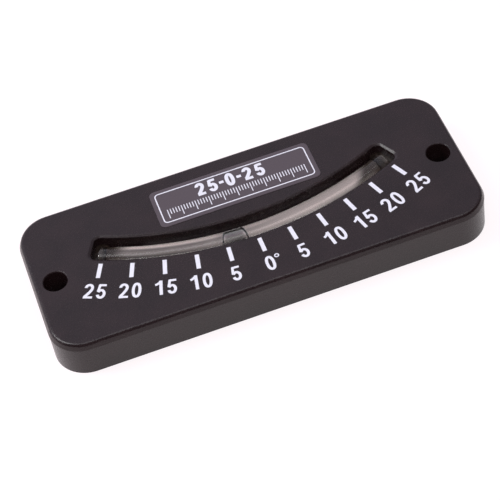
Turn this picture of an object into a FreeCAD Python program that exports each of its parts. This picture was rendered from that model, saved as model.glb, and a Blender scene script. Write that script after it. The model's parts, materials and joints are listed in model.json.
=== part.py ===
import FreeCAD, Part
import math
import os

# Inclinometer: a moulded plate with a bent liquid tube behind a curved window.
# It lies on its back. X runs along the plate, Y points to the label's side, Z points out of the face.
# The origin is the middle of the back face. Lengths are in millimetres and angles in degrees.

Vector = FreeCAD.Vector
UP = Vector(0, 0, 1)
ALONG = Vector(1, 0, 0)
FULL_TURN = 360
MITRED = 1

# One overrun carries every cutting tool clear of the face that it leaves
overrun = 1.0

# Plate
body_length = 111.0
body_width = 44.5
body_height = 10.3
corner_radius = 8.5
top_edge_radius = 1.0
top_edge_slope = 20.0
parting_drop = 1.75
parting_step = 0.1
side_wall = 2.2
face_wall = 2.4

# Fixing holes through the plate, and the bosses round them
hole_diameter = 6.0
hole_inset = 5.7
hole_lip = 0.2
hole_boss_wall = 1.8

# Bent glass tube, whose even bend is drawn as straight steps
bend_radius = 85.0
tube_diameter = 6.0
tube_glass = 0.7
bend_steps = 10
tube_middle_drop = 2.8
plug_length = 1.0
plug_fit_gap = 0.02

# Window over the tube, and the trough that lines it
window_side_gap = 0.5
window_end_inset = 16.8
window_corner_radius = 1.6
window_lip_width = 0.6
window_lip_depth = 0.35
trough_wall = 1.5
trough_foot_gap = 0.1
tube_end_gap = 1.35

# Guide ribs that keep the tube in the middle of the trough
guide_radius = 1.0
guide_fit_gap = 0.1
guide_angle_shares = (-0.6, 0.6)

# Liquid and bubble
liquid_fit_gap = 0.02
bubble_length = 6.5
bubble_end_slope = 0.9
bubble_fit_gap = 0.12
bubble_pool_depth = 1.1
bubble_rest_angle = -3.3

# Back cover, its rim, and the bed that carries the strip and the tube
cover_thickness = 1.8
rim_wall = 1.2
cover_fit_gap = 0.15
bed_rise = 0.9
bed_side_gap = 0.6
bed_end_gap = 0.6
tube_rest_gap = 0.05

# Pale strip on the bed
strip_thickness = 0.3
strip_side_inset = 0.2
strip_end_inset = 7.5

# Countersunk cover screws and their square posts
screw_diameter = 2.2
screw_head_diameter = 4.0
screw_length = 6.0
screw_fit_gap = 0.05
screw_post_wall = 1.5
pilot_spare_depth = 0.5

# Stiffening ribs under the face
rib_thickness = 1.2
rib_foot_gap = 0.6
rib_count = 8

# Glue at the tube's ends
glue_grip = 2.4
glue_rise = 1.5
glue_fit_gap = 0.03

# Label on the face, a set way in from the plate's upper long side
label_length = 41.9
label_width = 12.4
label_thickness = 0.15
label_corner_radius = 1.4
label_edge_gap = 4.75

# Worked out from the sizes above
face_underside = body_height - face_wall
tube_radius = tube_diameter / 2
bore_radius = tube_radius - tube_glass
bed_top = cover_thickness + bed_rise
tube_axis_height = bed_top + strip_thickness + tube_rest_gap + tube_radius
arc_centre_y = bend_radius - tube_middle_drop
window_half_width = tube_radius + window_side_gap
window_half_angle = math.degrees(math.asin((body_length / 2 - window_end_inset) / bend_radius))
hole_x = body_length / 2 - hole_inset
hole_boss_radius = hole_diameter / 2 + hole_boss_wall
screw_radius = screw_diameter / 2
screw_post_width = screw_diameter + 2 * screw_post_wall
screw_x = body_length / 2 - corner_radius
screw_y = body_width / 2 - corner_radius
label_middle_y = body_width / 2 - label_edge_gap - label_width / 2


def arc_degrees(length):
    """The angle that a length along the tube's centre line covers."""
    return math.degrees(length / bend_radius)


tube_half_angle = window_half_angle - arc_degrees(tube_end_gap)
plug_angle = arc_degrees(plug_length)
bend_step_angle = 2 * tube_half_angle / bend_steps


def on_arc(radius, angle, height):
    """A point at a radius from the arc's centre, at an angle from straight down, positive towards +X."""
    turn = math.radians(angle)
    return Vector(radius * math.sin(turn), arc_centre_y - radius * math.cos(turn), height)


def rounded_block(length, width, radius, low, high, middle_y=0):
    """A plate with round corners between two heights."""
    x, y = length / 2, width / 2
    block = Part.makeBox(length, width, high - low, Vector(-x, middle_y - y, low))
    return block.makeFillet(radius, upright_edges(block))


def upright_edges(shape):
    """The straight edges that run along Z."""
    return [edge for edge in shape.Edges if is_upright(edge)]


def is_upright(edge):
    """True for a straight edge that runs along Z."""
    return isinstance(edge.Curve, Part.Line) and abs(edge.Curve.Direction.z) > math.cos(math.radians(1))


def arc_block(half_width, start_angle, end_angle, corner, low, high):
    """A block that follows the tube's arc between two angles and two heights, with round corners."""
    middle_angle = (start_angle + end_angle) / 2
    inner = bend_radius - half_width
    outer = bend_radius + half_width
    corners = [
        on_arc(inner, start_angle, low),
        on_arc(inner, end_angle, low),
        on_arc(outer, end_angle, low),
        on_arc(outer, start_angle, low),
    ]
    edges = [
        Part.Arc(corners[0], on_arc(inner, middle_angle, low), corners[1]).toShape(),
        Part.LineSegment(corners[1], corners[2]).toShape(),
        Part.Arc(corners[2], on_arc(outer, middle_angle, low), corners[3]).toShape(),
        Part.LineSegment(corners[3], corners[0]).toShape(),
    ]
    block = Part.Face(Part.Wire(edges)).extrude(UP * (high - low))
    return block.makeFillet(corner, upright_edges(block)) if corner else block


def window_block(grown, low, high):
    """The window's own outline, grown evenly, between two heights."""
    half_angle = window_half_angle + arc_degrees(grown)
    corner = window_corner_radius + grown
    return arc_block(window_half_width + grown, -half_angle, half_angle, corner, low, high)


def on_bend(angle):
    """A point of the tube's centre line, which follows the arc in straight steps and runs on straight."""
    outermost = bend_steps / 2
    step = min(max(math.floor(angle / bend_step_angle), -outermost), outermost - 1)
    from_middle = math.radians(angle - (step + 1 / 2) * bend_step_angle)
    inset = bend_radius * (1 - math.cos(math.radians(bend_step_angle / 2))) / 2
    return on_arc((bend_radius - inset) / math.cos(from_middle), angle, tube_axis_height)


def bent_bar(radius, start_angle, end_angle):
    """A round bar on the tube's centre line between two angles, mitred where the steps meet."""
    turns = [step * bend_step_angle for step in range(1 - bend_steps // 2, bend_steps // 2)]
    inside = [angle for angle in turns if start_angle < angle < end_angle]
    places = [on_bend(angle) for angle in [start_angle, *inside, end_angle]]
    section = Part.Wire(Part.makeCircle(radius, places[0], places[1] - places[0]))
    return Part.makePolygon(places).makePipeShell([section], True, False, MITRED)


def upright_cylinder(radius, low, high, x, y):
    """A cylinder along Z."""
    return Part.makeCylinder(radius, high - low, Vector(x, y, low), UP)


def centred_box(length, width, low, high):
    """A box over the origin between two heights."""
    return Part.makeBox(length, width, high - low, Vector(-length / 2, -width / 2, low))


def hole_places():
    """The middles of the two fixing holes."""
    return [(side * hole_x, 0) for side in (-1, 1)]


def screw_places():
    """The middles of the four cover screws, which stand on the centres of the plate's corner arcs."""
    return [(side * screw_x, end * screw_y) for side in (-1, 1) for end in (-1, 1)]


def at_places(shape, places):
    """Copies of a shape, one at each place."""
    return [shape.translated(Vector(x, y, 0)) for x, y in places]


def joined(first, others):
    """One solid from several that touch, without the seams between them."""
    return first.fuse(others).removeSplitter()


def plate_block(inset, low, high):
    """The plate's outline, drawn in evenly, between two heights."""
    return rounded_block(body_length - 2 * inset, body_width - 2 * inset, corner_radius - inset, low, high)


def foot(block):
    """The outline of a block's lowest face."""
    return min(block.Faces, key=lambda face: face.CenterOfMass.z).OuterWire


def outer_form():
    """The plate's outside: a face with a sloped and rounded edge, a little proud of the wall under it."""
    parting = body_height - parting_drop
    drawn_in = parting_drop * math.tan(math.radians(top_edge_slope))
    wide = foot(plate_block(0, parting, body_height))
    narrow = foot(plate_block(drawn_in, body_height, body_height + overrun))
    face = Part.makeLoft([wide, narrow], True, True)
    rim = [edge for edge in face.Edges if edge.BoundBox.ZMin > parting + parting_drop / 2]
    face = face.makeFillet(top_edge_radius, rim)
    return joined(plate_block(parting_step, 0, parting), [face])


def stiffening_ribs():
    """Thin webs across the plate, evenly spaced over the window's length."""
    low = cover_thickness + rib_foot_gap
    width = body_width - 2 * rim_wall
    pitch = (body_length - 2 * window_end_inset) / rib_count
    first = -pitch * (rib_count - 1) / 2
    web = centred_box(rib_thickness, width, low, body_height - face_wall / 2)
    return at_places(web, [(first + number * pitch, 0) for number in range(rib_count)])


def tube_guides():
    """Half-round upright ribs on both walls of the trough, up to the height of the tube's axis."""
    offset = tube_radius + guide_fit_gap + guide_radius
    low = cover_thickness + trough_foot_gap
    guides = []
    for share in guide_angle_shares:
        for radius in (bend_radius - offset, bend_radius + offset):
            place = on_arc(radius, share * window_half_angle, 0)
            guides.append(upright_cylinder(guide_radius, low, tube_axis_height, place.x, place.y))
    return guides


def window_lip():
    """The slope round the window's edge on the face: a loft from the window's outline to a wider one."""
    slope = window_lip_width / window_lip_depth
    low, high = body_height - window_lip_depth, body_height + window_lip_depth
    outlines = []
    for height in (low, high):
        grown = (height - low) * slope
        outlines.append(foot(window_block(grown, height, height + overrun)))
    return Part.makeLoft(outlines, True, True)


def fixing_hole():
    """A cutting tool for one fixing hole, flared a little where it meets the face."""
    radius = hole_diameter / 2
    flare = Part.makeCone(radius, radius + 2 * hole_lip, 2 * hole_lip, UP * (body_height - hole_lip))
    return joined(upright_cylinder(radius, -overrun, body_height + overrun, 0, 0), [flare])


def front_housing():
    """The moulded plate: a hollow shell with the window's trough, bosses and ribs behind the face."""
    outside = outer_form()
    hollow = plate_block(side_wall, -overrun, face_underside)
    cover_seat = plate_block(rim_wall, -overrun, cover_thickness)
    shell = outside.cut([hollow, cover_seat])
    hole_boss = upright_cylinder(hole_boss_radius, 0, body_height - parting_drop, 0, 0)
    high = face_underside + overrun / 2
    screw_post = centred_box(screw_post_width, screw_post_width, cover_thickness, high)
    trough = window_block(trough_wall, cover_thickness + trough_foot_gap, high)
    inside = [trough]
    inside += at_places(hole_boss, hole_places())
    inside += at_places(screw_post, screw_places())
    inside += stiffening_ribs()
    inside = [piece.common(outside) for piece in inside]
    pilot_depth = screw_length + pilot_spare_depth
    pilot = upright_cylinder(screw_radius + screw_fit_gap, 0, pilot_depth, 0, 0)
    cuts = [window_block(0, -overrun, body_height + overrun), window_lip()]
    cuts += at_places(fixing_hole(), hole_places())
    cuts += at_places(pilot, screw_places())
    return joined(joined(shell, inside).cut(cuts), tube_guides())


def countersunk_form(gap):
    """A countersunk screw's head and shank, head down on the back, grown by a gap."""
    head = screw_head_diameter / 2 + gap
    shank = screw_radius + gap
    cone = Part.makeCone(head, shank, head - shank)
    return joined(cone, [Part.makeCylinder(shank, screw_length)])


def cover_screws():
    """The four countersunk cover screws as one group, heads flush with the back."""
    return Part.makeCompound(at_places(countersunk_form(0), screw_places()))


def back_cover():
    """The inset plate that closes the back, notched round the hole bosses, with the bed for the tube."""
    plate = plate_block(rim_wall + cover_fit_gap, 0, cover_thickness)
    bed_end = window_half_angle - arc_degrees(bed_end_gap)
    bed_half_width = window_half_width - bed_side_gap
    bed = arc_block(bed_half_width, -bed_end, bed_end, 0, cover_thickness / 2, bed_top)
    notch = upright_cylinder(hole_boss_radius + cover_fit_gap, -overrun, cover_thickness + overrun, 0, 0)
    cuts = at_places(notch, hole_places())
    cuts += at_places(countersunk_form(screw_fit_gap), screw_places())
    return joined(plate, [bed]).cut(cuts)


def backing_strip():
    """The pale strip on the cover's bed, under the tube."""
    half_width = window_half_width - bed_side_gap - strip_side_inset
    half_angle = window_half_angle - arc_degrees(strip_end_inset)
    return arc_block(half_width, -half_angle, half_angle, 0, bed_top, bed_top + strip_thickness)


def glass_tube():
    """The bent tube, open at both ends."""
    bore_end = tube_half_angle + plug_angle
    bore = bent_bar(bore_radius, -bore_end, bore_end)
    return bent_bar(tube_radius, -tube_half_angle, tube_half_angle).cut(bore)


def tube_plug(side):
    """The plug that closes one end of the tube's bore."""
    ends = sorted([side * tube_half_angle, side * (tube_half_angle - plug_angle)])
    return bent_bar(bore_radius - plug_fit_gap, *ends)


def bubble_form(radius, length, floor):
    """A short straight bar with blunt cone ends at the bubble's rest place, flat where it lies on liquid."""
    end = length / 2
    shoulder = end - bubble_end_slope
    profile = [
        Vector(-end, 0, 0),
        Vector(-end, 0, radius - bubble_end_slope),
        Vector(-shoulder, 0, radius),
        Vector(shoulder, 0, radius),
        Vector(end, 0, radius - bubble_end_slope),
        Vector(end, 0, 0),
    ]
    bar = Part.Face(Part.makePolygon(profile + profile[:1])).revolve(Vector(0, 0, 0), ALONG, FULL_TURN)
    bar = bar.cut(centred_box(length, 2 * radius, floor - radius, floor))
    bar.Placement = FreeCAD.Placement(
        on_arc(bend_radius, bubble_rest_angle, tube_axis_height), FreeCAD.Rotation(UP, bubble_rest_angle)
    )
    return bar


def air_bubble():
    """The bubble, which fills the bore above the pool of liquid that it floats on."""
    floor = bubble_pool_depth - bore_radius
    return bubble_form(bore_radius - bubble_fit_gap, bubble_length, floor)


def damping_liquid():
    """The liquid between the plugs, with the bubble's space left out of it."""
    end = tube_half_angle - plug_angle - arc_degrees(liquid_fit_gap)
    floor = bubble_pool_depth - bubble_fit_gap - bore_radius
    space = bubble_form(bore_radius + bubble_fit_gap, bubble_length + 2 * bubble_fit_gap, floor)
    return bent_bar(bore_radius - liquid_fit_gap, -end, end).cut(space)


def glue_bead(side):
    """Glue that fills one end of the trough round the tube's end."""
    window_end = window_half_angle - arc_degrees(glue_fit_gap)
    bead_start = tube_half_angle - arc_degrees(glue_grip)
    ends = sorted([side * window_end, side * bead_start])
    corner = window_corner_radius - glue_fit_gap
    half_width = window_half_width - glue_fit_gap
    bead = arc_block(half_width, ends[0], ends[1], corner, bed_top, tube_axis_height + glue_rise)
    tube_end = tube_half_angle + arc_degrees(glue_fit_gap)
    tube_space = sorted([side * tube_end, side * (bead_start - arc_degrees(overrun))])
    return bead.cut(bent_bar(tube_radius + glue_fit_gap, *tube_space))


def face_label():
    """The thin label on the face, between the window and the plate's upper long side."""
    return rounded_block(
        label_length,
        label_width,
        label_corner_radius,
        body_height,
        body_height + label_thickness,
        label_middle_y,
    )


def travel_limits():
    """How far the bubble can turn about the arc's centre from its rest place, each way, in degrees."""
    reach = tube_half_angle - plug_angle - arc_degrees(bubble_length / 2 + bubble_fit_gap)
    return -reach - bubble_rest_angle, reach - bubble_rest_angle


nodes = {
    "front_housing": front_housing(),
    "back_cover": back_cover(),
    "cover_screws": cover_screws(),
    "glass_tube": glass_tube(),
    "left_tube_plug": tube_plug(-1),
    "right_tube_plug": tube_plug(1),
    "damping_liquid": damping_liquid(),
    "air_bubble": air_bubble(),
    "backing_strip": backing_strip(),
    "left_glue_bead": glue_bead(-1),
    "right_glue_bead": glue_bead(1),
    "face_label": face_label(),
}

os.makedirs("parts", exist_ok=True)
for name, shape in nodes.items():
    shape.exportStep(f"parts/{name}.step")
    print(name, len(shape.Solids), "solids", round(shape.Volume), "cubic mm", shape.isValid())

low, high = travel_limits()
print(f"arc centre at y {arc_centre_y:.3f}, bubble turns {low:.2f} to {high:.2f} degrees")
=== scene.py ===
import json
import math

import bmesh
import bpy
import numpy as np
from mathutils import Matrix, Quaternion, Vector


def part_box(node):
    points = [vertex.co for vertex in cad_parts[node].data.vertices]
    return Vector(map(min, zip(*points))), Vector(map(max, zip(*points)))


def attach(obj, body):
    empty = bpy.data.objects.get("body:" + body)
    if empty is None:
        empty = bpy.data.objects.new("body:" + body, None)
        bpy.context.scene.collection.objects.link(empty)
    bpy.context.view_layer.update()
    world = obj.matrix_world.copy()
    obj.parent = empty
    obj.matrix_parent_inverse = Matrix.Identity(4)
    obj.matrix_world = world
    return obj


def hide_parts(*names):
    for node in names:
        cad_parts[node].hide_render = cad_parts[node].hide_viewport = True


# An inclinometer: a black moulded plate with a liquid-filled bent glass tube behind a curved window,
# a white degree scale printed below the window and a small printed label above it.
# Lengths are in metres and angles in radians, unless a name or a call says mm or degrees.

MM = 0.001

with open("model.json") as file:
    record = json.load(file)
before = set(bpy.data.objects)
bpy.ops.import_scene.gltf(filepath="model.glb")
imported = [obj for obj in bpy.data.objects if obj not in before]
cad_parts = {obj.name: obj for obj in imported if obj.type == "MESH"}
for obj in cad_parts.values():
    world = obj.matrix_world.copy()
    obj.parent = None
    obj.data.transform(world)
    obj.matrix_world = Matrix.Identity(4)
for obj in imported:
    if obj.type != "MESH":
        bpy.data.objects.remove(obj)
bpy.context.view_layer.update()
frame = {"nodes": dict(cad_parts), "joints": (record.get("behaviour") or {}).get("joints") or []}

# Heights, places and radii that the frame gives
FACE_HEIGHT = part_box("front_housing")[1].z
ARC_CENTRE = Vector(frame["joints"][0]["pos_m"])
TUBE_LOW, TUBE_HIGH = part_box("glass_tube")
TUBE_RADIUS = (TUBE_HIGH.z - TUBE_LOW.z) / 2
AXIS_HEIGHT = (TUBE_HIGH.z + TUBE_LOW.z) / 2
LABEL_LOW, LABEL_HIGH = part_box("face_label")
LABEL_MIDDLE = (LABEL_LOW + LABEL_HIGH) / 2
SCREWS_LOW, SCREWS_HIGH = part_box("cover_screws")

# Tube, liquid and bubble
BEND_RADIUS = 85.0 * MM
TUBE_END = 38.83 * MM
TUBE_WALL = 0.7 * MM
BORE_RADIUS = TUBE_RADIUS - TUBE_WALL
PLUG_LENGTH = 1.0 * MM
SKIN = 0.01 * MM
BUBBLE_MIDDLE = -4.896 * MM
BUBBLE_LENGTH = 6.9 * MM
BUBBLE_DOME = 1.6 * MM
BUBBLE_BLUNTNESS = 2.15
BUBBLE_FILM = 0.04 * MM
POOL_DEPTH = 1.2 * MM
POOL_ROUNDING = 0.35 * MM

# How strongly each clear body bends light. Air in the spirit would be 1 / 1.36, and is drawn a little weaker, because
# the photographed bubble has a thinner dark outline.
GLASS_INDEX = 1.47
SPIRIT_INDEX = 1.36
BUBBLE_INDEX = 1 / 1.25

# Pale film curved round the tube's back
FILM_GAP = 0.03 * MM
FILM_THICKNESS = 0.1 * MM
FILM_NEAR_REACH = 84
FILM_FAR_REACH = 106
FILM_END = 38.7 * MM

# Painted light and shade on the film: light and dark streaks that stand in for light the liquid-filled tube focuses
# onto it, as colours by degrees round the tube from straight down, at its left and at its right part
STREAK_FROM, STREAK_TO = 36, 100
LEFT_PAINTED_STREAKS = [
    (38, "#383434"), (44, "#484343"), (47, "#797170"), (51, "#908787"), (55, "#898080"),
    (57.5, "#766E6E"), (59.8, "#908787"), (61, "#CEC2C1"), (62, "#FDEEEC"), (90, "#FBECF7"),
]
RIGHT_PAINTED_STREAKS = [
    (38, "#867E7D"), (40, "#ADA3A2"), (42, "#CBBFBE"), (44, "#DFD2D1"), (46, "#E7D9D8"),
    (48.5, "#F8E9E8"), (51, "#F1E3E2"), (53, "#E2D4D3"), (57.5, "#D7CAC9"), (61, "#D4C7C6"),
    (66, "#DACDCC"), (72, "#FBECF7"),
]

# In the same degrees: how far the streaks waver, between which places along the bend the left ones turn into the
# right ones, and from where to where, and how far, the right ones swing round the tube
STREAK_WAVER = 1.2
STREAK_BLEND = (-16, 12)
SWING_FROM, SWING_TO = 8, 20
SWING = 5

# Painted shade at the film's ends, in brown, where the tube's ends lie in shade: degrees along the bend from its
# middle at which it starts and is full, and how much sooner it starts for each degree away from the turn that is
# reached last
END_SHADE_MIDDLE = -0.7
END_SHADE_FROM, END_SHADE_TO = 21.2, 24.2
END_SHADE_LEAN = 0.1
END_SHADE_LAST_TURN = 53

# Printed scale: a tick every five degrees, with its figures further from the arc's centre
INK = 0.02 * MM
INK_LAYER = 0.002 * MM
INK_LAYERS = 3
TICK_DEGREES = range(-25, 26, 5)
TICK_START = 89.95 * MM
TICK_END = 94.4 * MM
TICK_WIDTH = 1.05 * MM
FIGURE_RADIUS = 98.5 * MM
FIGURE_PITCH = 3.1
FIGURE_WEIGHT = 1.07
DEGREE_RING_PLACE = (2.1 * MM, 1.65 * MM)

# Label: its sheet, the line round its edge, a row of figures and a fine tick row below them
LABEL_SHEET = 0.12 * MM
LABEL_CORNER = 1.4 * MM
LINE_INSET = 1.1 * MM
LINE_WIDTH = 0.3 * MM
LINE_CORNER = 0.8 * MM
LABEL_FIGURES_RISE = 2.2 * MM
LABEL_FIGURES = "25-0-25"
LABEL_FIGURE_PLACES = (-8.34, -5.16, -2.81, -0.56, 1.79, 4.09, 7.31)
LABEL_FIGURE_SCALE = 0.9
LABEL_FIGURE_WEIGHT = 1.5
FINE_TICKS = 51
FINE_TICK_SPAN = 36.0 * MM
FINE_TICK_TOP = -0.9 * MM
FINE_TICK_LENGTHS = (1.7 * MM, 3.0 * MM)
FINE_TICK_WIDTH = 0.22 * MM

# Cross-head cover screws
SCREW_HEAD = 2.0 * MM
SCREW_SHANK = 1.1 * MM
SCREW_THREAD_PITCH = 0.8 * MM
SCREW_THREAD_DEPTH = 0.12 * MM
CROSS_HALF_LENGTH = 1.2 * MM
CROSS_HALF_WIDTH = 0.28 * MM
CROSS_DEPTH = 0.8 * MM
CROSS_SLOPE = 0.12 * MM

EDGE_ROUNDING = 0.15 * MM

# Studio: which way is back, over which range it brightens, how bright its two sides are, how it falls off to the
# right and brightens below the floor, and its warm paper
STUDIO_BACK = (0, 0.87, 0.5)
STUDIO_TURN = (0.12, 0.42)
STUDIO_DARK = 0.165
STUDIO_BRIGHT = 0.86
STUDIO_RIGHT_SHARE = 0.5
STUDIO_RIGHT_END = 0.6
STUDIO_BELOW = 0.88
STUDIO_BELOW_FADE = (-0.5, -0.2)
STUDIO_COLOUR = "#EDEDFF"
PAPER = "#8E767C"
# Beneath the plate the paper is drawn darker and without glow: painted shade
SHADED_PAPER = "#504D50"
PAPER_GLOW = "#EAEAEA"
FLOOR_HALF = 2.0
SHADED_INSET = 2.7 * MM
TOUCH = 0.2 * MM

# Camera: its place round the plate, its height and its roll in degrees, the point it looks at, and its lens
CAMERA_TURN = (-10.295, 49.286, -10.884)
CAMERA_AIM = Vector((-3.256, -10.401, 10.3)) * MM
CAMERA_DISTANCE_MM = 448.17
CAMERA_SENSOR_MM = 36
CAMERA_LENS_MM = 133.9


# Meshes


def grid_faces(rows, columns, closed_rows=False, closed_columns=False):
    """Quads between neighbours of a grid of points, numbered row by row, joined round where it is closed."""
    row = np.arange(rows if closed_rows else rows - 1)
    column = np.arange(columns if closed_columns else columns - 1)
    row, column = np.meshgrid(row, column, indexing="ij")
    below, beside = (row + 1) % rows, (column + 1) % columns
    corners = [
        row * columns + column,
        row * columns + beside,
        below * columns + beside,
        below * columns + column,
    ]
    return np.stack(corners, -1).reshape(-1, 4)


def piece(name, points, faces, material, body, smooth=True, closed=False):
    """A mesh object at the origin that rides on a body. A closed one has doubles merged and its faces turned out."""
    mesh = bpy.data.meshes.new(name)
    mesh.from_pydata(points.reshape(-1, 3).tolist(), [], faces.tolist())
    mesh.polygons.foreach_set("use_smooth", [smooth] * len(mesh.polygons))
    if closed:
        shell = bmesh.new()
        shell.from_mesh(mesh)
        bmesh.ops.remove_doubles(shell, verts=shell.verts, dist=SKIN / 10)
        bmesh.ops.recalc_face_normals(shell, faces=shell.faces)
        shell.to_mesh(mesh)
        shell.free()
    mesh.materials.append(material)
    made = bpy.data.objects.new(name, mesh)
    bpy.context.scene.collection.objects.link(made)
    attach(made, body)
    return made


def side_by_side(grids):
    """The points and faces of several separate grids, one after the other."""
    points = np.concatenate([grid.reshape(-1, 3) for grid in grids])
    starts = np.cumsum([0] + [grid.shape[0] * grid.shape[1] for grid in grids[:-1]])
    faces = np.concatenate([grid_faces(*grid.shape[:2]) + start for grid, start in zip(grids, starts)])
    return points, faces


def bent(along, across, rise):
    """Points of a straight bar bent round the arc's centre: along becomes an angle, across adds to the radius."""
    angle = along / BEND_RADIUS
    radius = BEND_RADIUS + across
    x = ARC_CENTRE.x + radius * np.sin(angle)
    y = ARC_CENTRE.y - radius * np.cos(angle)
    return np.stack([x, y, AXIS_HEIGHT + rise], -1)


def bent_lathe(along, radius, around=72):
    """A profile of places along the bent axis and radii, turned once round that axis."""
    turn = np.linspace(0, math.tau, around, endpoint=False)
    along, turn = np.meshgrid(along, turn, indexing="ij")
    radius = np.broadcast_to(np.asarray(radius)[:, None], turn.shape)
    return bent(along, radius * np.cos(turn), radius * np.sin(turn))


def glass_tube_profile(steps=220, rim_steps=9):
    """One loop: the outside, a half-round rim, the bore back to the start, and the other half-round rim."""
    half_wall = TUBE_WALL / 2
    middle = TUBE_RADIUS - half_wall
    straight = np.linspace(half_wall - TUBE_END, TUBE_END - half_wall, steps)
    rim = np.linspace(math.pi / 2, -math.pi / 2, rim_steps + 2)[1:-1]
    along = [straight, straight[-1] + half_wall * np.cos(rim), straight[::-1], straight[0] - half_wall * np.cos(rim)]
    radius = [
        np.full(steps, TUBE_RADIUS),
        middle + half_wall * np.sin(rim),
        np.full(steps, BORE_RADIUS),
        middle - half_wall * np.sin(rim),
    ]
    return np.concatenate(along), np.concatenate(radius)


def bent_tube(glass, bore_skin):
    """The tube's glass as a closed skin, with its bore's faces in their own material."""
    along, radius = glass_tube_profile()
    points = bent_lathe(along, radius)
    faces = grid_faces(*points.shape[:2], closed_rows=True, closed_columns=True)
    tube = piece("bent_tube", points, faces, glass, "housing", closed=True)
    tube.data.materials.append(bore_skin)
    middles = np.zeros(len(tube.data.polygons) * 3)
    tube.data.polygons.foreach_get("center", middles)
    middles = middles.reshape(-1, 3)
    flat = np.hypot(middles[:, 0] - ARC_CENTRE.x, middles[:, 1] - ARC_CENTRE.y) - BEND_RADIUS
    from_axis = np.hypot(flat, middles[:, 2] - AXIS_HEIGHT)
    tube.data.polygons.foreach_set("material_index", (from_axis < BORE_RADIUS + SKIN).astype(int))
    return tube


def rod(name, half_length, radius, material, body, steps=200):
    """A bent bar with flat ends: its profile runs from the axis out to the radius, along, and back to the axis."""
    along = np.concatenate([[-half_length], np.linspace(-half_length, half_length, steps), [half_length]])
    profile = np.concatenate([[0], np.full(steps, radius), [0]])
    points = bent_lathe(along, profile)
    faces = grid_faces(*points.shape[:2], closed_columns=True)
    return piece(name, points, faces, material, body, closed=True)


def curved_film(material, steps=160, around=60):
    """A thin film curved up round the tube's back, higher at the far side: its section is a loop of two arcs."""
    turn = np.radians(np.linspace(-FILM_FAR_REACH, FILM_NEAR_REACH, around)) - math.pi / 2
    inner = TUBE_RADIUS + FILM_GAP
    angle = np.concatenate([turn, turn[::-1]])
    radius = np.concatenate([np.full(around, inner), np.full(around, inner + FILM_THICKNESS)])
    along = np.linspace(-FILM_END, FILM_END, steps)
    along, angle = np.meshgrid(along, angle, indexing="ij")
    points = bent(along, radius * np.cos(angle), radius * np.sin(angle))
    faces = grid_faces(*points.shape[:2], closed_columns=True).tolist()
    rings = points.shape[1]
    for first in (0, (steps - 1) * rings):
        for place in range(around - 1):
            faces.append([first + place, first + place + 1, first + rings - 2 - place, first + rings - 1 - place])
    film = piece("curved_backing_film", points, np.array(faces), material, "housing", closed=True)
    round_and_along(film.data)
    return film


def round_and_along(mesh):
    """A place map in degrees: along the bend, and round the tube from straight down towards the arc's centre."""
    spots = np.zeros(len(mesh.vertices) * 3)
    mesh.vertices.foreach_get("co", spots)
    spots = spots.reshape(-1, 3)
    x, y = spots[:, 0] - ARC_CENTRE.x, ARC_CENTRE.y - spots[:, 1]
    bend = np.degrees(np.arctan2(x, y))
    turn = np.degrees(np.arctan2(BEND_RADIUS - np.hypot(x, y), AXIS_HEIGHT - spots[:, 2]))
    corner = np.zeros(len(mesh.loops), dtype=int)
    mesh.loops.foreach_get("vertex_index", corner)
    layer = mesh.uv_layers.new(name="degrees")
    layer.data.foreach_set("uv", np.stack([bend, turn], -1)[corner].ravel())


def bubble_surface(material, steps=60, dome_steps=24):
    """The bore's radius along the middle, a blunt ellipse's quarter over each end, and a soft floor on the liquid.

    The blunt quarter has the sine and cosine of its turn raised to 2 over the bluntness.

    The floor is a smooth maximum of the height and the pool's level: half of their sum and of the root of
    their difference squared plus the rounding squared.
    """
    radius = BORE_RADIUS - BUBBLE_FILM
    half = BUBBLE_LENGTH / 2 - BUBBLE_DOME
    turn = np.linspace(0, math.pi / 2, dome_steps)
    rising, falling = np.sin(turn) ** (2 / BUBBLE_BLUNTNESS), np.abs(np.cos(turn)) ** (2 / BUBBLE_BLUNTNESS)
    along = np.concatenate([-half - BUBBLE_DOME * falling, np.linspace(-half, half, steps)[1:-1],
                            half + BUBBLE_DOME * rising])
    size = np.concatenate([rising, np.ones(steps - 2), falling]) * radius
    around = np.linspace(0, math.tau, 96, endpoint=False)
    along, around = np.meshgrid(along, around, indexing="ij")
    across = size[:, None] * np.cos(around)
    rise = size[:, None] * np.sin(around)
    floor = (POOL_DEPTH - BORE_RADIUS) * size[:, None] / radius
    rise = (rise + floor + np.sqrt((rise - floor) ** 2 + (POOL_ROUNDING * size[:, None] / radius) ** 2)) / 2
    points = bent(along + BUBBLE_MIDDLE, across, rise)
    faces = grid_faces(*points.shape[:2], closed_columns=True)
    return piece("bubble", points, faces, material, "bubble", closed=True)


# Printed figures, drawn as flat bands of ink round the middle of a figure 4.35 mm tall


def curve(start, control, end, count=15):
    """Points on a curve with one control point: the three weighted by (1 - t)², 2t(1 - t) and t²."""
    t = np.linspace(0, 1, count)[:, None]
    start, control, end = np.array(start), np.array(control), np.array(end)
    return (1 - t) ** 2 * start + 2 * t * (1 - t) * control + t**2 * end


def oval(middle, half_width, half_height, start, end, squareness=1.0, count=49):
    """Points on an ellipse between two angles in degrees, with the cosine and sine raised to a power."""
    turn = np.radians(np.linspace(start, end, count))
    x = np.sign(np.cos(turn)) * np.abs(np.cos(turn)) ** squareness * half_width
    y = np.sign(np.sin(turn)) * np.abs(np.sin(turn)) ** squareness * half_height
    return np.stack([middle[0] + x, middle[1] + y], -1)


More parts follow.
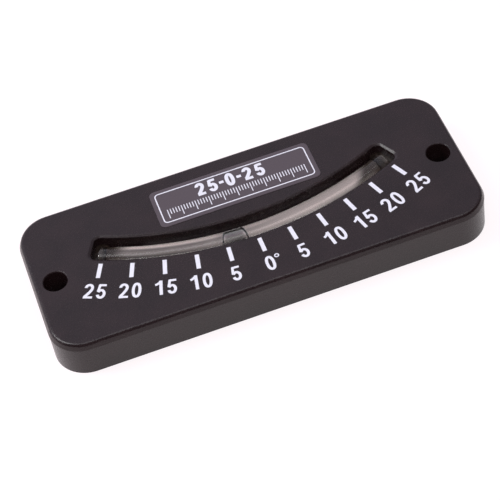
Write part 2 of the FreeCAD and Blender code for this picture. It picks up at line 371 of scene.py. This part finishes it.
def figure_bands(figure):
    """The centre lines of a figure's bands in mm, each with its width."""
    if figure == "0":
        return [(oval((0, 0), 0.8, 1.92, 0, 360, squareness=0.88), 0.68)]
    if figure == "1":
        return [
            (np.array([(0.42, 2.2), (0.42, -2.2)]), 0.74),
            (curve((0.36, 2.0), (0.05, 1.3), (-0.95, 0.98)), 0.6),
        ]
    if figure == "2":
        return [
            (oval((-0.02, 0.98), 0.8, 0.92, 178, -22), 0.66),
            (curve((0.73, 0.64), (0.5, -0.15), (-0.8, -1.72)), 0.68),
            (np.array([(-1.14, -1.9), (1.12, -1.9)]), 0.6),
        ]
    if figure == "5":
        return [
            (np.array([(-0.7, 1.9), (1.05, 1.9)]), 0.58),
            (np.array([(-0.52, 2.1), (-0.8, -0.12)]), 0.6),
            (oval((-0.02, -0.78), 0.82, 1.12, 152, -165), 0.66),
        ]
    if figure == "-":
        return [(np.array([(-0.66, 0), (0.66, 0)]), 0.6)]
    return [(oval((0, 0), 0.46, 0.46, 0, 360), 0.32)]


def band(line, width):
    """A flat band: each point of the line moved half the width to both sides, square to the line."""
    along = np.gradient(line, axis=0)
    along /= np.linalg.norm(along, axis=1, keepdims=True)
    side = np.stack([-along[:, 1], along[:, 0]], -1) * width / 2
    return np.stack([line - side, line + side], 1)


def figure_grids(text, places, scale=1.0, weight=1.0):
    """The bands of a row of figures in metres, with each figure's middle at its place in mm."""
    grids = []
    for figure, place in zip(text, places):
        for line, width in figure_bands(figure):
            grids.append((band(line * scale, width * weight * scale) + np.array([place, 0])) * MM)
    return grids


def radial(flat, degrees, radius):
    """Flat points set on the plate round a point of the scale, with their tops towards the arc's centre."""
    turn = math.radians(degrees)
    right = np.array([math.cos(turn), math.sin(turn)])
    up = np.array([-math.sin(turn), math.cos(turn)])
    middle = np.array(ARC_CENTRE.xy) - up * radius
    return middle + flat[..., :1] * right + flat[..., 1:] * up


def lifted(flat, height):
    """Flat points at one height."""
    return np.concatenate([flat, np.full(flat.shape[:-1] + (1,), height)], -1)


def inked(name, grids, height, material):
    """A printed piece: flat bands at the ink's upper side, given the ink's thickness downwards.

    Each band lies a hair off its neighbours in height, so bands that cross never share a plane.
    """
    layers = [lifted(grid, height + place % INK_LAYERS * INK_LAYER) for place, grid in enumerate(grids)]
    points, faces = side_by_side(layers)
    print_piece = piece(name, points, faces, material, "housing", smooth=False)
    turned_up(print_piece.data)
    thickness = print_piece.modifiers.new("ink", "SOLIDIFY")
    thickness.thickness = INK
    thickness.offset = -1
    return print_piece


def turned_up(mesh):
    """Flips the faces of a flat mesh that look down."""
    shell = bmesh.new()
    shell.from_mesh(mesh)
    shell.normal_update()
    bmesh.ops.reverse_faces(shell, faces=[face for face in shell.faces if face.normal.z < 0])
    shell.to_mesh(mesh)
    shell.free()


def bar(start, end, width):
    """A straight flat band between two points."""
    return band(np.array([start, end]), width)


def scale_ticks():
    """One band along the radius at every five degrees."""
    middle = (TICK_START + TICK_END) / 2
    half = (TICK_END - TICK_START) / 2
    return [radial(bar((0, -half), (0, half), TICK_WIDTH), degrees, middle) for degrees in TICK_DEGREES]


def scale_figures():
    """The number of degrees under every tick, with a small ring beside the zero."""
    grids = []
    for degrees in TICK_DEGREES:
        text = str(abs(degrees))
        places = (np.arange(len(text)) - (len(text) - 1) / 2) * FIGURE_PITCH
        row = figure_grids(text, places, weight=FIGURE_WEIGHT)
        if degrees == 0:
            row += [grid + np.array(DEGREE_RING_PLACE) for grid in figure_grids("o", [0])]
        grids += [radial(grid, degrees, FIGURE_RADIUS) for grid in row]
    return grids


def rounded_path(length, width, corner, steps=10):
    """A closed path round a rectangle with round corners: four quarter circles joined by straight runs."""
    turn = np.linspace(0, math.pi / 2, steps)
    quarters = []
    for number, (x, y) in enumerate([(1, 1), (-1, 1), (-1, -1), (1, -1)]):
        angle = turn + number * math.pi / 2
        quarters.append(np.stack([x * (length / 2 - corner) + corner * np.cos(angle),
                                  y * (width / 2 - corner) + corner * np.sin(angle)], -1))
    path = np.concatenate(quarters)
    return path + np.array(LABEL_MIDDLE.xy)


def label_size():
    """The label's length and width."""
    return LABEL_HIGH.x - LABEL_LOW.x, LABEL_HIGH.y - LABEL_LOW.y


def label_sheet(material):
    """The sheet: its round-cornered path carried up its edge and a little way in, and closed by one face."""
    length, width = label_size()
    top = FACE_HEIGHT + LABEL_SHEET
    bevel = LABEL_SHEET / 3
    rings = [
        lifted(rounded_path(length, width, LABEL_CORNER), FACE_HEIGHT),
        lifted(rounded_path(length, width, LABEL_CORNER), top - bevel),
        lifted(rounded_path(length - 2 * bevel, width - 2 * bevel, LABEL_CORNER - bevel), top),
    ]
    points = np.stack(rings)
    faces = grid_faces(*points.shape[:2], closed_columns=True).tolist()
    count = points.shape[1]
    faces.append(list(range(2 * count, 3 * count)))
    faces.append(list(range(count))[::-1])
    mesh = bpy.data.meshes.new("label_sheet")
    mesh.from_pydata(points.reshape(-1, 3).tolist(), [], faces)
    shell = bmesh.new()
    shell.from_mesh(mesh)
    bmesh.ops.recalc_face_normals(shell, faces=shell.faces)
    shell.to_mesh(mesh)
    shell.free()
    mesh.materials.append(material)
    sheet = bpy.data.objects.new("label_sheet", mesh)
    bpy.context.scene.collection.objects.link(sheet)
    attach(sheet, "housing")
    return sheet


def label_line():
    """The line round the label's edge: two round-cornered paths side by side, joined round."""
    length, width = label_size()
    paths = []
    for inset, corner in ((LINE_INSET, LINE_CORNER + LINE_WIDTH), (LINE_INSET + LINE_WIDTH, LINE_CORNER)):
        path = rounded_path(length - 2 * inset, width - 2 * inset, corner)
        paths.append(np.concatenate([path, path[:1]]))
    return [np.stack(paths, 1)]


def label_marks():
    """A row of figures, and below it a fine tick row with every fifth tick long."""
    middle = np.array(LABEL_MIDDLE.xy)
    figures = figure_grids(LABEL_FIGURES, LABEL_FIGURE_PLACES, LABEL_FIGURE_SCALE, LABEL_FIGURE_WEIGHT)
    grids = [grid + middle + np.array([0, LABEL_FIGURES_RISE]) for grid in figures]
    places = np.linspace(-FINE_TICK_SPAN / 2, FINE_TICK_SPAN / 2, FINE_TICKS)
    for number, place in enumerate(places):
        length = FINE_TICK_LENGTHS[(number - FINE_TICKS // 2) % 5 == 0]
        grids.append(bar((place, FINE_TICK_TOP - length), (place, FINE_TICK_TOP), FINE_TICK_WIDTH) + middle)
    return grids


def screw_points(x, y):
    """One screw turned about its axis: a head disc with a cross recess, the cone under it and a ribbed shank.

    The recess is as deep as two ramps allow: one across the arms' width and one at their ends.
    """
    turn = np.linspace(0, math.tau, 72, endpoint=False)
    disc = np.linspace(0, SCREW_HEAD, 26)
    shank = np.arange(SCREW_HEAD - SCREW_SHANK, SCREWS_HIGH.z - SCREW_THREAD_PITCH, SCREW_THREAD_PITCH / 4)
    ribs = SCREW_SHANK - SCREW_THREAD_DEPTH * (1 - np.cos(shank / SCREW_THREAD_PITCH * math.tau)) / 2
    radius = np.concatenate([disc, ribs, [0]])
    height = np.concatenate([np.zeros(len(disc)), shank, [SCREWS_HIGH.z]])
    radius, turn = np.meshgrid(radius, turn, indexing="ij")
    height = np.broadcast_to(height[:, None], turn.shape).copy()
    across, along = radius * np.cos(turn), radius * np.sin(turn)
    near, far = np.minimum(np.abs(across), np.abs(along)), np.maximum(np.abs(across), np.abs(along))
    ramp = np.clip((CROSS_HALF_WIDTH - near) / CROSS_SLOPE + 0.5, 0, 1)
    ramp = ramp * np.clip((CROSS_HALF_LENGTH - far) / CROSS_SLOPE + 0.5, 0, 1)
    on_head = np.arange(len(radius))[:, None] < len(disc)
    height += np.where(on_head, ramp * CROSS_DEPTH, 0)
    return np.stack([x + across, y + along, height], -1)


def cross_head_screws(material):
    """The four cover screws, at the corners of their CAD group's box."""
    inset = SCREW_HEAD
    points, faces, start = [], [], 0
    for x in (SCREWS_LOW.x + inset, SCREWS_HIGH.x - inset):
        for y in (SCREWS_LOW.y + inset, SCREWS_HIGH.y - inset):
            grid = screw_points(x, y)
            points.append(grid.reshape(-1, 3))
            faces.append(grid_faces(*grid.shape[:2], closed_columns=True) + start)
            start += len(points[-1])
    return piece("cross_head_screws", np.concatenate(points), np.concatenate(faces), material, "housing", closed=True)


# Materials


def linear(hex_colour):
    """An sRGB hex colour as linear numbers: a straight part near black, and above it a power of 2.4."""
    values = [int(hex_colour[place : place + 2], 16) / 255 for place in (1, 3, 5)]
    return [v / 12.92 if v <= 0.04045 else ((v + 0.055) / 1.055) ** 2.4 for v in values] + [1]


def new_material(name):
    """An empty node material."""
    material = bpy.data.materials.new(name)
    material.use_nodes = True
    material.node_tree.nodes.clear()
    return material


def add(material, kind, inputs=None, stops=(), **settings):
    """Adds a node with its settings. An input takes a socket to link, a hex colour or a plain value.

    A colour ramp takes stops as pairs of a share and a hex colour, in rising order.
    """
    tree = material.node_tree
    node = tree.nodes.new(kind)
    for place, (share, colour) in enumerate(stops):
        stop = node.color_ramp.elements[0] if place == 0 else node.color_ramp.elements.new(share)
        stop.position, stop.color = share, linear(colour)
    for name, value in settings.items():
        setattr(node, name, value)
    for name, value in (inputs or {}).items():
        if isinstance(value, bpy.types.NodeSocket):
            tree.links.new(value, node.inputs[name])
        else:
            node.inputs[name].default_value = linear(value) if isinstance(value, str) else value
    return node


def moulded_plastic(name, dark, light, roughness, grain, bump):
    """Black ABS from a spark-eroded mould: a fine even grain breaks up the shine, and every edge is a bit round."""
    material = new_material(name)
    place = add(material, "ShaderNodeTexCoord").outputs["Object"]
    grains = add(material, "ShaderNodeTexNoise", {
        "Vector": place, "Scale": 1 / grain, "Detail": 2, "Roughness": 0.6}).outputs["Fac"]
    clouds = add(material, "ShaderNodeTexNoise", {
        "Vector": place, "Scale": 1 / (9 * MM), "Detail": 3}).outputs["Fac"]
    both = add(material, "ShaderNodeMath", {0: grains, 1: clouds}, operation="ADD").outputs[0]
    tone = add(material, "ShaderNodeMapRange", {"Value": both, "From Min": 0.75, "From Max": 1.25}).outputs[0]
    colour = add(material, "ShaderNodeMix", {"Factor": tone, 6: dark, 7: light}, data_type="RGBA").outputs[2]
    rough = add(material, "ShaderNodeMapRange", {
        "Value": grains, "From Min": 0.3, "From Max": 0.7,
        "To Min": roughness - 0.04, "To Max": roughness + 0.04}).outputs[0]
    edges = add(material, "ShaderNodeBevel", {"Radius": EDGE_ROUNDING}, samples=8).outputs[0]
    relief = add(material, "ShaderNodeBump", {
        "Height": grains, "Normal": edges, "Strength": 1.0, "Distance": bump}).outputs[0]
    skin = add(material, "ShaderNodeBsdfPrincipled", {
        "Base Color": colour, "Roughness": rough, "Normal": relief, "IOR": 1.45})
    add(material, "ShaderNodeOutputMaterial", {"Surface": skin.outputs[0]})
    return material


def printed_ink():
    """White pad-printed ink: nearly opaque, with faint thin patches and a soft sheen."""
    material = new_material("white_pad_print")
    place = add(material, "ShaderNodeTexCoord").outputs["Object"]
    patches = add(material, "ShaderNodeTexNoise", {
        "Vector": place, "Scale": 1 / (0.6 * MM), "Detail": 2}).outputs["Fac"]
    colour = add(material, "ShaderNodeMix", {
        "Factor": patches, 6: "#D5D3DC", 7: "#E0DEE7"}, data_type="RGBA").outputs[2]
    skin = add(material, "ShaderNodeBsdfPrincipled", {"Base Color": colour, "Roughness": 0.55})
    add(material, "ShaderNodeOutputMaterial", {"Surface": skin.outputs[0]})
    return material


def printed_film():
    """Satin polyester label film, printed grey: smoother and lighter than the plate it lies on."""
    material = new_material("grey_label_film")
    place = add(material, "ShaderNodeTexCoord").outputs["Object"]
    grains = add(material, "ShaderNodeTexNoise", {
        "Vector": place, "Scale": 1 / (0.4 * MM), "Detail": 2}).outputs["Fac"]
    colour = add(material, "ShaderNodeMix", {
        "Factor": grains, 6: "#463C42", 7: "#50454A"}, data_type="RGBA").outputs[2]
    relief = add(material, "ShaderNodeBump", {"Height": grains, "Strength": 0.3, "Distance": 0.01 * MM}).outputs[0]
    skin = add(material, "ShaderNodeBsdfPrincipled", {"Base Color": colour, "Normal": relief, "Roughness": 0.42})
    add(material, "ShaderNodeOutputMaterial", {"Surface": skin.outputs[0]})
    return material


def clear_body(name, ior, tint):
    """A clear body that bends what is seen through it and lets the light that falls on what is behind it pass."""
    material = new_material(name)
    bending = add(material, "ShaderNodeBsdfGlass", {"Color": tint, "IOR": ior, "Roughness": 0.0}).outputs[0]
    clear = add(material, "ShaderNodeBsdfTransparent", {"Color": tint}).outputs[0]
    path = add(material, "ShaderNodeLightPath").outputs
    light = add(material, "ShaderNodeMath", {
        0: path["Is Shadow Ray"], 1: path["Is Diffuse Ray"]}, operation="MAXIMUM").outputs[0]
    mixed = add(material, "ShaderNodeMixShader", {0: light, 1: bending, 2: clear})
    add(material, "ShaderNodeOutputMaterial", {"Surface": mixed.outputs[0]})
    return material


def see_through(name):
    """A boundary that leaves light as it is, where the liquid's own surface bends it."""
    material = new_material(name)
    clear = add(material, "ShaderNodeBsdfTransparent")
    add(material, "ShaderNodeOutputMaterial", {"Surface": clear.outputs[0]})
    return material


def strip_film():
    """Polyester film, rolled to the tube's curve, with painted light and shade.

    Its painted light runs in soft light and dark streaks along the tube, and its ends are painted brown shade.
    """
    material = new_material("rolled_film_painted_light")
    place = add(material, "ShaderNodeUVMap", uv_map="degrees").outputs[0]
    stretched = add(material, "ShaderNodeMapping", {"Vector": place, "Scale": (0.03, 0.7, 1)}).outputs[0]
    ripple = add(material, "ShaderNodeTexNoise", {"Vector": stretched, "Scale": 1, "Detail": 3}).outputs["Fac"]
    places = add(material, "ShaderNodeSeparateXYZ", {"Vector": place}).outputs
    shift = add(material, "ShaderNodeMapRange", {
        "Value": ripple, "To Min": -STREAK_WAVER, "To Max": STREAK_WAVER}).outputs[0]
    swing = add(material, "ShaderNodeMapRange", {
        "Value": places["X"], "From Min": SWING_FROM, "From Max": SWING_TO, "To Max": SWING}).outputs[0]
    turn = add(material, "ShaderNodeMath", {0: places["Y"], 1: shift}, operation="ADD").outputs[0]
    swung = add(material, "ShaderNodeMath", {0: turn, 1: swing}, operation="ADD").outputs[0]
    share = add(material, "ShaderNodeMapRange", {
        "Value": swung, "From Min": STREAK_FROM, "From Max": STREAK_TO}).outputs[0]
    sides = []
    for streaks in (LEFT_PAINTED_STREAKS, RIGHT_PAINTED_STREAKS):
        stops = [((degrees - STREAK_FROM) / (STREAK_TO - STREAK_FROM), colour) for degrees, colour in streaks]
        sides.append(add(material, "ShaderNodeValToRGB", {"Fac": share}, stops).outputs[0])
    along = add(material, "ShaderNodeMapRange", {
        "Value": places["X"], "From Min": STREAK_BLEND[0], "From Max": STREAK_BLEND[1]},
        interpolation_type="SMOOTHSTEP").outputs[0]
    # Painted light and shade: the streak colours stand in for light the tube focuses onto the film
    painted_light = add(material, "ShaderNodeMix", {"Factor": along, 6: sides[0], 7: sides[1]}, data_type="RGBA").outputs[2]
    off_middle = add(material, "ShaderNodeMath", {0: places["X"], 1: END_SHADE_MIDDLE}, operation="SUBTRACT").outputs[0]
    off_middle = add(material, "ShaderNodeMath", {0: off_middle}, operation="ABSOLUTE").outputs[0]
    off_turn = add(material, "ShaderNodeMath", {0: turn, 1: END_SHADE_LAST_TURN}, operation="SUBTRACT").outputs[0]
    off_turn = add(material, "ShaderNodeMath", {0: off_turn}, operation="ABSOLUTE").outputs[0]
    end = add(material, "ShaderNodeMath", {
        0: off_turn, 1: END_SHADE_LEAN, 2: off_middle}, operation="MULTIPLY_ADD").outputs[0]
    painted_end_shade = add(material, "ShaderNodeMapRange", {
        "Value": end, "From Min": END_SHADE_FROM, "From Max": END_SHADE_TO}, interpolation_type="SMOOTHSTEP").outputs[0]
    # Painted shade: the film's ends turn brown
    colour = add(material, "ShaderNodeMix", {"Factor": painted_end_shade, 6: painted_light, 7: "#3C302B"}, data_type="RGBA").outputs[2]
    skin = add(material, "ShaderNodeBsdfPrincipled", {"Base Color": colour, "Roughness": 0.5})
    add(material, "ShaderNodeOutputMaterial", {"Surface": skin.outputs[0]})
    return material


def cured_glue():
    """Clear cured glue over black plastic: dark, glossy and lumpy, so it shows as small hard glints."""
    material = new_material("clear_cured_glue")
    place = add(material, "ShaderNodeTexCoord").outputs["Object"]
    lumps = add(material, "ShaderNodeTexNoise", {
        "Vector": place, "Scale": 1 / (1.3 * MM), "Detail": 1}).outputs["Fac"]
    relief = add(material, "ShaderNodeBump", {"Height": lumps, "Strength": 1.0, "Distance": 0.1 * MM}).outputs[0]
    colour = add(material, "ShaderNodeMix", {
        "Factor": lumps, 6: "#1A1411", 7: "#2A211C"}, data_type="RGBA").outputs[2]
    skin = add(material, "ShaderNodeBsdfPrincipled", {
        "Base Color": colour, "Normal": relief, "Roughness": 0.2, "IOR": 1.4})
    add(material, "ShaderNodeOutputMaterial", {"Surface": skin.outputs[0]})
    return material


def zinc_steel():
    """Zinc-plated steel: bright grey metal with a slightly uneven passivated skin."""
    material = new_material("zinc_plated_steel")
    place = add(material, "ShaderNodeTexCoord").outputs["Object"]
    clouds = add(material, "ShaderNodeTexNoise", {
        "Vector": place, "Scale": 1 / (0.5 * MM), "Detail": 3}).outputs["Fac"]
    rough = add(material, "ShaderNodeMapRange", {"Value": clouds, "To Min": 0.25, "To Max": 0.45}).outputs[0]
    skin = add(material, "ShaderNodeBsdfPrincipled", {
        "Roughness": rough, "Base Color": "#A9A9A6", "Metallic": 1.0})
    add(material, "ShaderNodeOutputMaterial", {"Surface": skin.outputs[0]})
    return material


def plug_rubber():
    """Dark moulded rubber, dull and slightly mottled."""
    material = new_material("dark_plug_rubber")
    place = add(material, "ShaderNodeTexCoord").outputs["Object"]
    clouds = add(material, "ShaderNodeTexNoise", {
        "Vector": place, "Scale": 1 / (0.8 * MM), "Detail": 2}).outputs["Fac"]
    colour = add(material, "ShaderNodeMix", {
        "Factor": clouds, 6: "#1E1613", 7: "#2A201B"}, data_type="RGBA").outputs[2]
    skin = add(material, "ShaderNodeBsdfPrincipled", {"Base Color": colour, "Roughness": 0.75})
    add(material, "ShaderNodeOutputMaterial", {"Surface": skin.outputs[0]})
    return material


def dress(node, material):
    """Gives a CAD node its material."""
    slots = frame["nodes"][node].data.materials
    slots.clear()
    slots.append(material)


# Stage


def floor_material(name, colour, glow_colour):
    """White paper that stays white to the camera and keeps a soft shadow.

    It isn't seen from below, and what touches it is lit as if it stood free, so the object's back can be looked at.
    """
    material = new_material(name)
    path = add(material, "ShaderNodeLightPath").outputs
    seen = add(material, "ShaderNodeMath", {
        0: path["Is Camera Ray"], 1: path["Is Glossy Ray"]}, operation="MAXIMUM").outputs[0]
    seen = add(material, "ShaderNodeMath", {0: seen, 1: path["Is Transmission Ray"]}, operation="MAXIMUM").outputs[0]
    paper = add(material, "ShaderNodeBsdfDiffuse", {"Color": colour}).outputs[0]
    glow = add(material, "ShaderNodeEmission", {"Strength": seen, "Color": glow_colour}).outputs[0]
    lit = add(material, "ShaderNodeAddShader", {0: paper, 1: glow}).outputs[0]
    clear = add(material, "ShaderNodeBsdfTransparent").outputs[0]
    side = add(material, "ShaderNodeNewGeometry").outputs["Backfacing"]
    touching = add(material, "ShaderNodeMath", {0: path["Ray Length"], 1: TOUCH}, operation="LESS_THAN").outputs[0]
    passed = add(material, "ShaderNodeMath", {0: side, 1: touching}, operation="MAXIMUM").outputs[0]
    mixed = add(material, "ShaderNodeMixShader", {0: passed, 1: lit, 2: clear})
    add(material, "ShaderNodeOutputMaterial", {"Surface": mixed.outputs[0]})
    return material


def floor():
    """A wide flat sheet just under the plate's back. Beneath the plate it lies in the plate's shadow and is also
    drawn darker and without the glow: painted shade.
    """
    corners = np.array([(-1, -1), (1, -1), (1, 1), (-1, 1)])
    wide = corners * FLOOR_HALF
    under = corners * (np.array(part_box("front_housing")[1].xy) - SHADED_INSET)
    points = lifted(np.concatenate([wide, under]), -SKIN)
    faces = [(place, (place + 1) % 4, (place + 1) % 4 + 4, place + 4) for place in range(4)]
    mesh = bpy.data.meshes.new("floor")
    mesh.from_pydata(points.tolist(), [], [*faces, (4, 5, 6, 7)])
    mesh.materials.append(floor_material("white_paper", PAPER, PAPER_GLOW))
    # Painted shade: beneath the plate the paper is darker and has no glow
    mesh.materials.append(floor_material("shaded_paper", SHADED_PAPER, "#000000"))
    mesh.polygons[4].material_index = 1
    sheet = bpy.data.objects.new("floor", mesh)
    bpy.context.scene.collection.objects.link(sheet)


def softbox(name, place, aim, size, power, mirrored=True):
    """A rectangular lamp at a place, turned to a point.

    One behind a polarising sheet isn't mirrored by shiny skins.
    """
    lamp = bpy.data.lights.new(name, "AREA")
    lamp.shape = "RECTANGLE"
    lamp.size, lamp.size_y = size
    lamp.energy = power
    box = bpy.data.objects.new(name, lamp)
    box.location = place
    box.visible_glossy = mirrored
    box.rotation_mode = "QUATERNION"
    box.rotation_quaternion = (Vector(aim) - Vector(place)).to_track_quat("-Z", "Y")
    bpy.context.scene.collection.objects.link(box)


def surroundings():
    """A studio that is bright behind and above and dark on the camera's side, with a white background.

    The strength follows a direction's rise towards the back, between a dark and a bright value, and falls off to the
    right. Below the floor it is bright, which only views from below can see.
    """
    world = bpy.data.worlds.new("studio")
    bpy.context.scene.world = world
    world.use_nodes = True
    world.node_tree.nodes.clear()
    direction = add(world, "ShaderNodeTexCoord").outputs["Generated"]
    back = add(world, "ShaderNodeVectorMath", {
        0: direction, 1: STUDIO_BACK}, operation="DOT_PRODUCT").outputs["Value"]
    strength = add(world, "ShaderNodeMapRange", {
        "Value": back, "From Min": STUDIO_TURN[0], "From Max": STUDIO_TURN[1],
        "To Min": STUDIO_DARK, "To Max": STUDIO_BRIGHT}, interpolation_type="SMOOTHSTEP").outputs[0]
    parts = add(world, "ShaderNodeSeparateXYZ", {"Vector": direction}).outputs
    share = add(world, "ShaderNodeMapRange", {
        "Value": parts["X"], "From Min": 0, "From Max": STUDIO_RIGHT_END,
        "To Min": 1, "To Max": STUDIO_RIGHT_SHARE}).outputs[0]
    strength = add(world, "ShaderNodeMath", {0: strength, 1: share}, operation="MULTIPLY").outputs[0]
    below = add(world, "ShaderNodeMapRange", {
        "Value": parts["Z"], "From Min": STUDIO_BELOW_FADE[0], "From Max": STUDIO_BELOW_FADE[1],
        "To Min": STUDIO_BELOW, "To Max": 0}).outputs[0]
    strength = add(world, "ShaderNodeMath", {0: strength, 1: below}, operation="MAXIMUM").outputs[0]
    studio = add(world, "ShaderNodeBackground", {"Strength": strength, "Color": STUDIO_COLOUR}).outputs[0]
    white = add(world, "ShaderNodeBackground", {"Color": "#FFFFFF", "Strength": 1}).outputs[0]
    path = add(world, "ShaderNodeLightPath").outputs
    seen = add(world, "ShaderNodeMath", {
        0: path["Is Camera Ray"], 1: path["Is Transmission Ray"]}, operation="MAXIMUM").outputs[0]
    mixed = add(world, "ShaderNodeMixShader", {0: seen, 1: studio, 2: white})
    add(world, "ShaderNodeOutputWorld", {"Surface": mixed.outputs[0]})


def camera():
    """A long lens above the front, looking down at the plate, with the plate's right end swung up in the view."""
    azimuth, elevation, roll = [math.radians(degrees) for degrees in CAMERA_TURN]
    back = Vector((math.sin(azimuth) * math.cos(elevation), -math.cos(azimuth) * math.cos(elevation),
                   math.sin(elevation)))
    lens = bpy.data.cameras.new("camera")
    lens.sensor_width = CAMERA_SENSOR_MM
    lens.lens = CAMERA_LENS_MM
    lens.clip_start, lens.clip_end = 0.01, 20
    stand = bpy.data.objects.new("camera", lens)
    stand.location = CAMERA_AIM + back * CAMERA_DISTANCE_MM * MM
    stand.rotation_mode = "QUATERNION"
    stand.rotation_quaternion = (-back).to_track_quat("-Z", "Y") @ Quaternion((0, 0, 1), roll)
    bpy.context.scene.collection.objects.link(stand)
    bpy.context.scene.camera = stand


# The instrument

housing_plastic = moulded_plastic("spark_eroded_black_abs", "#1A0F10", "#251819",
                                  roughness=0.25, grain=0.3 * MM, bump=0.06 * MM)
cover_plastic = moulded_plastic("smooth_black_abs", "#1A1415", "#231B1D",
                                roughness=0.3, grain=0.6 * MM, bump=0.03 * MM)
white_ink = printed_ink()

dress("front_housing", housing_plastic)
dress("back_cover", cover_plastic)
glue = cured_glue()
dress("left_glue_bead", glue)
dress("right_glue_bead", glue)
rubber = plug_rubber()
dress("left_tube_plug", rubber)
dress("right_tube_plug", rubber)

tube = bent_tube(clear_body("drawn_clear_glass", GLASS_INDEX, "#FEFEFD"), see_through("wetted_bore"))
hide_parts("glass_tube")

# The liquid runs a hair into the plugs, so that no gap shows at its ends
liquid = rod("tube_liquid", TUBE_END - PLUG_LENGTH + 3 * SKIN, BORE_RADIUS - SKIN,
             clear_body("clear_spirit", SPIRIT_INDEX / GLASS_INDEX, "#FEFDFD"), "housing")
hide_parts("damping_liquid")

film = curved_film(strip_film())
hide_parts("backing_strip")

bubble = bubble_surface(clear_body("trapped_air", BUBBLE_INDEX, "#FFFFFF"))
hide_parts("air_bubble")

sheet = label_sheet(printed_film())
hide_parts("face_label")

screws = cross_head_screws(zinc_steel())
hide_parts("cover_screws")

inked("scale_ticks", scale_ticks(), FACE_HEIGHT + INK, white_ink)
inked("scale_figures", scale_figures(), FACE_HEIGHT + INK, white_ink)
inked("label_line", label_line(), FACE_HEIGHT + LABEL_SHEET + INK, white_ink)
inked("label_marks", label_marks(), FACE_HEIGHT + LABEL_SHEET + INK, white_ink)

floor()
surroundings()
softbox("left_light", (-0.47, 0.2, 0.62), aim=(0, 0, 0), size=(0.18, 0.32), power=2.6)
softbox("top_light", (0, 0.02, 0.8), aim=(0, 0, 0), size=(0.8, 0.26), power=1.2)
softbox("polarised_fill", (0, -0.49, 0.64), aim=(0, 0, 0), size=(0.8, 0.5), power=3.5, mirrored=False)
camera()
bpy.context.scene.view_settings.view_transform = "Standard"
